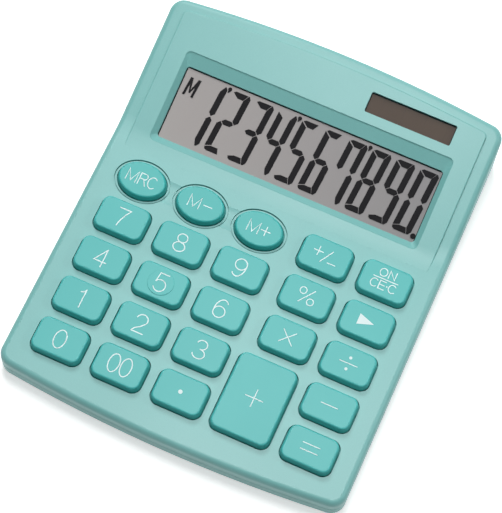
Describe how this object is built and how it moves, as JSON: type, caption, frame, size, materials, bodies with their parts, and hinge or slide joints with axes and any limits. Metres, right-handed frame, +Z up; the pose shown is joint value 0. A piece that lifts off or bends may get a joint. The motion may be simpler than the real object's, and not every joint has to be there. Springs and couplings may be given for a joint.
{
  "type": "desktop calculator",
  "caption": "Wedge-shaped desktop calculator with sprung keys on a level deck, a tilted liquid crystal display and a small solar window.",
  "frame": {"origin": "middle of the body's plan at the level of the rubber feet's undersides", "axes": "+X to the user's right, +Y from the keypad towards the display, +Z up"},
  "size_m": [0.105, 0.126, 0.021],
  "materials": {
    "case_plastic": "fine satin texture",
    "key_plastic": "satin",
    "board": "green solder mask",
    "silicone": "matte silicone",
    "lcd_film": "matte polarizing film",
    "lcd_glass": "clear",
    "reflector": "diffuse reflector",
    "inner_plastic": "black moulded",
    "ribbon": "amber film",
    "solar": "dark brown amorphous cell",
    "lead_red": "insulation",
    "lead_black": "insulation",
    "cell_steel": "nickel plated",
    "contact_metal": "nickel plated spring strip",
    "epoxy": "cured epoxy",
    "capacitor": "sleeved can",
    "screw_steel": "zinc plated",
    "rubber": "matte"
  },
  "bodies": {
    "case": {"upper_case": "case_plastic", "lower_case": "case_plastic", "main_board": "board", "key_mat": "silicone", "lcd_front_polarizer": "lcd_film", "lcd_front_glass": "lcd_glass", "lcd_rear_glass": "lcd_glass", "lcd_reflector": "reflector", "lcd_retainers": "inner_plastic", "lcd_ribbon": "ribbon", "solar_cell": "solar", "solar_lead_red": "lead_red", "solar_lead_black": "lead_black", "battery_holder": "inner_plastic", "button_cell": "cell_steel", "positive_contact": "contact_metal", "negative_contact": "contact_metal", "controller_blob": "epoxy", "smoothing_capacitor": "capacitor", "board_screws": "screw_steel", "retainer_screws": "screw_steel", "case_screws": "screw_steel", "rubber_feet": "rubber"},
    "button_mrc": {"key_mrc": "key_plastic"},
    "button_memory_minus": {"key_memory_minus": "key_plastic"},
    "button_memory_plus": {"key_memory_plus": "key_plastic"},
    "button_sign": {"key_sign": "key_plastic"},
    "button_on_clear": {"key_on_clear": "key_plastic"},
    "button_7": {"key_7": "key_plastic"},
    "button_8": {"key_8": "key_plastic"},
    "button_9": {"key_9": "key_plastic"},
    "button_percent": {"key_percent": "key_plastic"},
    "button_delete": {"key_delete": "key_plastic"},
    "button_4": {"key_4": "key_plastic"},
    "button_5": {"key_5": "key_plastic"},
    "button_6": {"key_6": "key_plastic"},
    "button_multiply": {"key_multiply": "key_plastic"},
    "button_divide": {"key_divide": "key_plastic"},
    "button_1": {"key_1": "key_plastic"},
    "button_2": {"key_2": "key_plastic"},
    "button_3": {"key_3": "key_plastic"},
    "button_minus": {"key_minus": "key_plastic"},
    "button_0": {"key_0": "key_plastic"},
    "button_00": {"key_00": "key_plastic"},
    "button_point": {"key_point": "key_plastic"},
    "button_equals": {"key_equals": "key_plastic"},
    "button_plus": {"key_plus": "key_plastic"}
  },
  "joints": [
    {"name": "press_mrc", "type": "slide", "parent": "case", "child": "button_mrc", "axis": [0, 0, -1], "range_m": [0, 0.001], "stiffness_N_per_m": 700, "deforming": ["key_mat"]},
    {"name": "press_memory_minus", "type": "slide", "parent": "case", "child": "button_memory_minus", "axis": [0, 0, -1], "range_m": [0, 0.001], "stiffness_N_per_m": 700, "deforming": ["key_mat"]},
    {"name": "press_memory_plus", "type": "slide", "parent": "case", "child": "button_memory_plus", "axis": [0, 0, -1], "range_m": [0, 0.001], "stiffness_N_per_m": 700, "deforming": ["key_mat"]},
    {"name": "press_sign", "type": "slide", "parent": "case", "child": "button_sign", "axis": [0, 0, -1], "range_m": [0, 0.001], "stiffness_N_per_m": 700, "deforming": ["key_mat"]},
    {"name": "press_on_clear", "type": "slide", "parent": "case", "child": "button_on_clear", "axis": [0, 0, -1], "range_m": [0, 0.001], "stiffness_N_per_m": 700, "deforming": ["key_mat"]},
    {"name": "press_7", "type": "slide", "parent": "case", "child": "button_7", "axis": [0, 0, -1], "range_m": [0, 0.001], "stiffness_N_per_m": 700, "deforming": ["key_mat"]},
    {"name": "press_8", "type": "slide", "parent": "case", "child": "button_8", "axis": [0, 0, -1], "range_m": [0, 0.001], "stiffness_N_per_m": 700, "deforming": ["key_mat"]},
    {"name": "press_9", "type": "slide", "parent": "case", "child": "button_9", "axis": [0, 0, -1], "range_m": [0, 0.001], "stiffness_N_per_m": 700, "deforming": ["key_mat"]},
    {"name": "press_percent", "type": "slide", "parent": "case", "child": "button_percent", "axis": [0, 0, -1], "range_m": [0, 0.001], "stiffness_N_per_m": 700, "deforming": ["key_mat"]},
    {"name": "press_delete", "type": "slide", "parent": "case", "child": "button_delete", "axis": [0, 0, -1], "range_m": [0, 0.001], "stiffness_N_per_m": 700, "deforming": ["key_mat"]},
    {"name": "press_4", "type": "slide", "parent": "case", "child": "button_4", "axis": [0, 0, -1], "range_m": [0, 0.001], "stiffness_N_per_m": 700, "deforming": ["key_mat"]},
    {"name": "press_5", "type": "slide", "parent": "case", "child": "button_5", "axis": [0, 0, -1], "range_m": [0, 0.001], "stiffness_N_per_m": 700, "deforming": ["key_mat"]},
    {"name": "press_6", "type": "slide", "parent": "case", "child": "button_6", "axis": [0, 0, -1], "range_m": [0, 0.001], "stiffness_N_per_m": 700, "deforming": ["key_mat"]},
    {"name": "press_multiply", "type": "slide", "parent": "case", "child": "button_multiply", "axis": [0, 0, -1], "range_m": [0, 0.001], "stiffness_N_per_m": 700, "deforming": ["key_mat"]},
    {"name": "press_divide", "type": "slide", "parent": "case", "child": "button_divide", "axis": [0, 0, -1], "range_m": [0, 0.001], "stiffness_N_per_m": 700, "deforming": ["key_mat"]},
    {"name": "press_1", "type": "slide", "parent": "case", "child": "button_1", "axis": [0, 0, -1], "range_m": [0, 0.001], "stiffness_N_per_m": 700, "deforming": ["key_mat"]},
    {"name": "press_2", "type": "slide", "parent": "case", "child": "button_2", "axis": [0, 0, -1], "range_m": [0, 0.001], "stiffness_N_per_m": 700, "deforming": ["key_mat"]},
    {"name": "press_3", "type": "slide", "parent": "case", "child": "button_3", "axis": [0, 0, -1], "range_m": [0, 0.001], "stiffness_N_per_m": 700, "deforming": ["key_mat"]},
    {"name": "press_minus", "type": "slide", "parent": "case", "child": "button_minus", "axis": [0, 0, -1], "range_m": [0, 0.001], "stiffness_N_per_m": 700, "deforming": ["key_mat"]},
    {"name": "press_0", "type": "slide", "parent": "case", "child": "button_0", "axis": [0, 0, -1], "range_m": [0, 0.001], "stiffness_N_per_m": 700, "deforming": ["key_mat"]},
    {"name": "press_00", "type": "slide", "parent": "case", "child": "button_00", "axis": [0, 0, -1], "range_m": [0, 0.001], "stiffness_N_per_m": 700, "deforming": ["key_mat"]},
    {"name": "press_point", "type": "slide", "parent": "case", "child": "button_point", "axis": [0, 0, -1], "range_m": [0, 0.001], "stiffness_N_per_m": 700, "deforming": ["key_mat"]},
    {"name": "press_equals", "type": "slide", "parent": "case", "child": "button_equals", "axis": [0, 0, -1], "range_m": [0, 0.001], "stiffness_N_per_m": 700, "deforming": ["key_mat"]},
    {"name": "press_plus", "type": "slide", "parent": "case", "child": "button_plus", "axis": [0, 0, -1], "range_m": [0, 0.001], "stiffness_N_per_m": 700, "deforming": ["key_mat"]}
  ]
}
